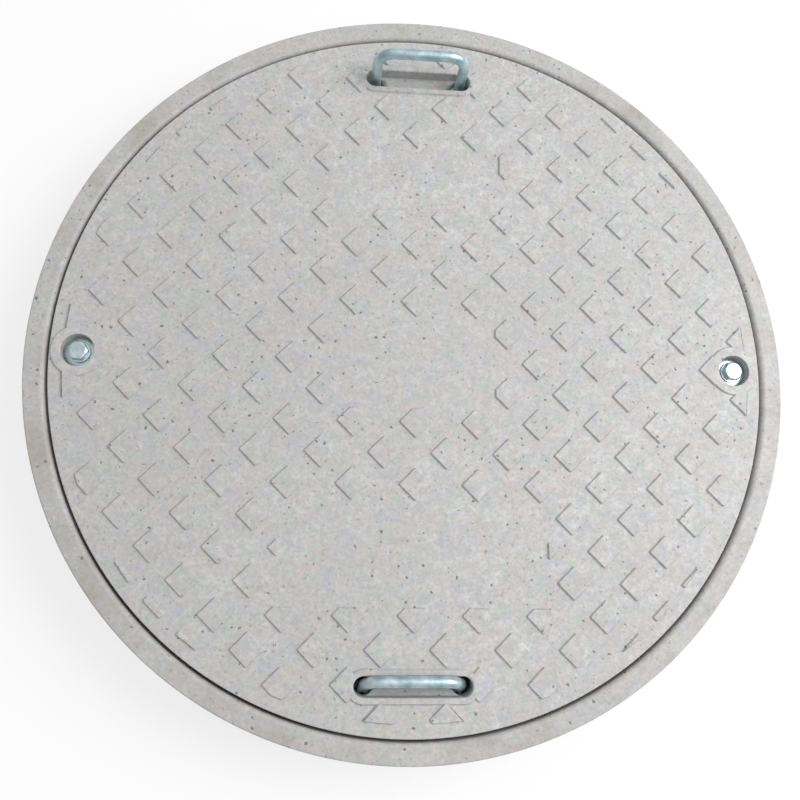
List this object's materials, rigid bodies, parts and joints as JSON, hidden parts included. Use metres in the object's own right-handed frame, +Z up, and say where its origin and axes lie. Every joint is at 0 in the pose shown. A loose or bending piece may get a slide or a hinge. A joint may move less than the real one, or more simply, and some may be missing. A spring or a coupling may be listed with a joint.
{
  "type": "manhole cover",
  "caption": "Round composite manhole cover with a raised diamond tread, flush in its ring frame, held by recessed lock bolts and lifted by bent rod handles.",
  "frame": {"origin": "centre of the frame's underside, where it rests on the shaft", "axes": "+Z up through the cover, +Y towards the raised handle, +X towards the right lock bolt"},
  "size_m": [0.876, 0.876, 0.156],
  "materials": {
    "cover_composite": "matte",
    "frame_composite": "matte",
    "seal_rubber": "matte",
    "insert_brass": "satin",
    "fastener_zinc": "satin",
    "handle_zinc": "satin"
  },
  "bodies": {
    "frame": {"frame": "frame_composite", "frame_seal": "seal_rubber", "left_thread_insert": "insert_brass", "right_thread_insert": "insert_brass"},
    "cover": {"cover": "cover_composite", "left_bolt_sleeve": "fastener_zinc", "right_bolt_sleeve": "fastener_zinc"},
    "top_handle": {"top_handle": "handle_zinc", "top_left_stop_washer": "handle_zinc", "top_left_lock_nut": "handle_zinc", "top_right_stop_washer": "handle_zinc", "top_right_lock_nut": "handle_zinc"},
    "bottom_handle": {"bottom_handle": "handle_zinc", "bottom_left_stop_washer": "handle_zinc", "bottom_left_lock_nut": "handle_zinc", "bottom_right_stop_washer": "handle_zinc", "bottom_right_lock_nut": "handle_zinc"},
    "left_washer": {"left_bolt_washer": "fastener_zinc"},
    "left_bolt": {"left_lock_bolt": "fastener_zinc"},
    "right_washer": {"right_bolt_washer": "fastener_zinc"},
    "right_bolt": {"right_lock_bolt": "fastener_zinc"}
  },
  "joints": [
    {"name": "cover_lift", "type": "slide", "parent": "frame", "child": "cover", "axis": [0, 0, 1], "range_m": [0, 0.12]},
    {"name": "top_handle_slide", "type": "slide", "parent": "cover", "child": "top_handle", "axis": [0, 0, 1], "range_m": [-0.054, 0]},
    {"name": "bottom_handle_slide", "type": "slide", "parent": "cover", "child": "bottom_handle", "axis": [0, 0.2588, 0.9659], "range_m": [-0.0128, 0.036]},
    {"name": "left_bolt_rise", "type": "slide", "parent": "cover", "child": "left_washer", "axis": [0, 0, 1], "range_m": [0, 0.02275]},
    {"name": "left_bolt_turn", "type": "hinge", "parent": "left_washer", "child": "left_bolt", "pos_m": [-0.364, 0, 0.0945], "axis": [0, 0, 1], "range_deg": [0, 4680]},
    {"name": "right_bolt_rise", "type": "slide", "parent": "cover", "child": "right_washer", "axis": [0, 0, 1], "range_m": [0, 0.02275]},
    {"name": "right_bolt_turn", "type": "hinge", "parent": "right_washer", "child": "right_bolt", "pos_m": [0.364, 0, 0.0945], "axis": [0, 0, 1], "range_deg": [0, 4680]}
  ],
  "couplings": [
    {"joint": "left_bolt_turn", "follows": "left_bolt_rise", "rad_per_m": 3590.4},
    {"joint": "right_bolt_turn", "follows": "right_bolt_rise", "rad_per_m": 3590.4}
  ]
}
